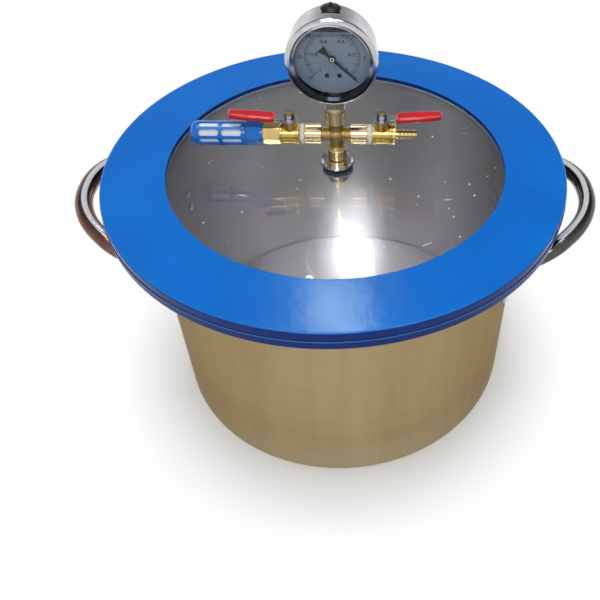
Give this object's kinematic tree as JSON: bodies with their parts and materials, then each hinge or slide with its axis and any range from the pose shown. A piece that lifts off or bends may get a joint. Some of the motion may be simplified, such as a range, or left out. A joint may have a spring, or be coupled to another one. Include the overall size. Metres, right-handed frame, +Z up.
{
  "type": "vacuum degassing chamber",
  "caption": "Round stainless pot with tube handles, a flanged gasket ring, a clear lid and a cross manifold with two lever ball valves, an air filter, a hose barb and a dial gauge.",
  "frame": {"origin": "middle of the pot's underside", "axes": "+Z up; X along the manifold and through both handles, with the air filter at -X and the hose barb at +X; the gauge faces -Y"},
  "size_m": [0.397, 0.3412, 0.3262],
  "materials": {
    "pot_steel": "brushed",
    "handle_steel": "polished",
    "fastener_steel": "satin",
    "blue_rubber": "satin",
    "lid_glass": "clear",
    "machined_brass": "turned",
    "valve_brass": "satin",
    "cast_brass": "cast and turned",
    "dull_brass": "dull",
    "black_rubber": "matt",
    "chrome": "polished",
    "zinc_plate": "plated",
    "thread_tape": "matt",
    "white_seal": "matt",
    "red_vinyl": "gloss",
    "blue_plastic": "gloss",
    "porous_white": "sintered",
    "gauge_steel": "polished",
    "gauge_window": "clear",
    "dial_face": "matt",
    "pointer_black": "matt"
  },
  "bodies": {
    "root": {"ball_seats_left": "white_seal", "ball_seats_right": "white_seal", "bourdon_tube": "machined_brass", "bulkhead_nipple": "machined_brass", "bulkhead_nut": "machined_brass", "bulkhead_washer_bottom": "chrome", "bulkhead_washer_top": "chrome", "cross_fitting": "cast_brass", "dial_screws": "fastener_steel", "filter_cage": "blue_plastic", "filter_core": "porous_white", "gasket_ring": "blue_rubber", "gauge_bezel": "gauge_steel", "gauge_case": "gauge_steel", "gauge_dial": "dial_face", "gauge_filler_plug": "black_rubber", "gauge_glass": "gauge_window", "gauge_glass_gasket": "black_rubber", "gauge_socket": "dull_brass", "glass_lid": "lid_glass", "handle_foot_left_back": "handle_steel", "handle_foot_left_front": "handle_steel", "handle_foot_right_back": "handle_steel", "handle_foot_right_front": "handle_steel", "handle_left": "handle_steel", "handle_right": "handle_steel", "hose_barb": "machined_brass", "lid_seal_bottom": "black_rubber", "lid_seal_top": "black_rubber", "movement_frame": "machined_brass", "pot": "pot_steel", "rivets_left_back": "fastener_steel", "rivets_left_front": "fastener_steel", "rivets_right_back": "fastener_steel", "rivets_right_front": "fastener_steel", "stem_packing_left": "white_seal", "stem_packing_right": "white_seal", "thread_tape_gauge": "thread_tape", "thread_tape_left": "thread_tape", "thread_tape_right": "thread_tape", "valve_body_left": "valve_brass", "valve_body_right": "valve_brass", "valve_end_left": "machined_brass"},
    "lever_left": {"lever_plate_left": "zinc_plate", "lever_sleeve_left": "red_vinyl", "lever_nut_left": "chrome", "valve_stem_left": "machined_brass", "valve_ball_left": "chrome"},
    "lever_right": {"lever_plate_right": "zinc_plate", "lever_sleeve_right": "red_vinyl", "lever_nut_right": "chrome", "valve_stem_right": "machined_brass", "valve_ball_right": "chrome"},
    "gauge_pointer_body": {"gauge_pointer": "pointer_black", "pointer_arbor": "machined_brass"},
    "gauge_sector_body": {"movement_sector": "machined_brass"}
  },
  "joints": [
    {"name": "lever_left_turn", "type": "hinge", "parent": "root", "child": "lever_left", "pos_m": [-0.0327, 0, 0.2299], "axis": [0, 0, 1], "range_deg": [0, 90]},
    {"name": "lever_right_turn", "type": "hinge", "parent": "root", "child": "lever_right", "pos_m": [0.0327, 0, 0.2299], "axis": [0, 0, 1], "range_deg": [-90, 0]},
    {"name": "sector_swing", "type": "hinge", "parent": "root", "child": "gauge_sector_body", "pos_m": [0, 0, 0.2761], "axis": [0, -1, 0], "range_deg": [-33.75, 0], "stiffness_Nm_per_rad": 0.004, "springref_deg": 17.19},
    {"name": "pointer_turn", "type": "hinge", "parent": "root", "child": "gauge_pointer_body", "pos_m": [0, 0, 0.2923], "axis": [0, -1, 0], "range_deg": [0, 270]}
  ],
  "couplings": [
    {"joint": "pointer_turn", "follows": "sector_swing", "ratio": -8}
  ]
}
